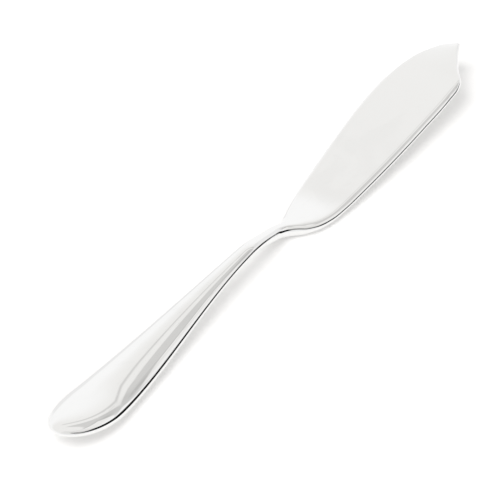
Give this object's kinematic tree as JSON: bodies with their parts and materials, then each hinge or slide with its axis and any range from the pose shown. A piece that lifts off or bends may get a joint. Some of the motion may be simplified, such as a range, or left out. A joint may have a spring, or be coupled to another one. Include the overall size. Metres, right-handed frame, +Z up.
{
  "type": "fish knife",
  "caption": "One-piece polished fish knife with a round butt, a slim arched handle, a narrow neck and a flat pointed blade with a notched back.",
  "frame": {"origin": "on the table plane, under the middle of the knife's length and width", "axes": "+X from the butt of the handle to the blade's point, +Y towards the blade's edge, +Z up from the table"},
  "size_m": [0.205, 0.0225, 0.009],
  "materials": {
    "polished_steel": "mirror-polished stainless steel, not plated, with fine wiping marks"
  },
  "bodies": {
    "root": {"fish_knife": "polished_steel"}
  },
  "joints": []
}
